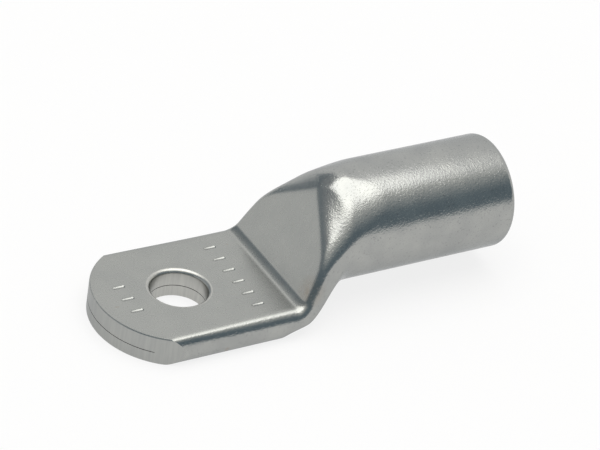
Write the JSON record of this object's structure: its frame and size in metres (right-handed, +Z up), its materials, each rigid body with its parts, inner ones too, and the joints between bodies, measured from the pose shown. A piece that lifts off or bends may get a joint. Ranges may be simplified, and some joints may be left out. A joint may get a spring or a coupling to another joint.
{
  "type": "cable lug",
  "caption": "One-piece crimp cable lug: a tinned copper tube for a stranded conductor, its end pressed into a flat, round-tipped palm with a bolt hole.",
  "frame": {"origin": "centre of the bounding box on the palm's underside, the plane that the lug is bolted down on", "axes": "+X along the barrel towards its open mouth, +Y across the palm, +Z up from the palm's underside to the side that the barrel stands out on"},
  "size_m": [0.062, 0.0224, 0.0183],
  "materials": {
    "tinned_copper": "matt tin plating over copper, grainy on the tube and smoothed where the press touched it"
  },
  "bodies": {
    "root": {"cable_lug": "tinned_copper"}
  },
  "joints": []
}
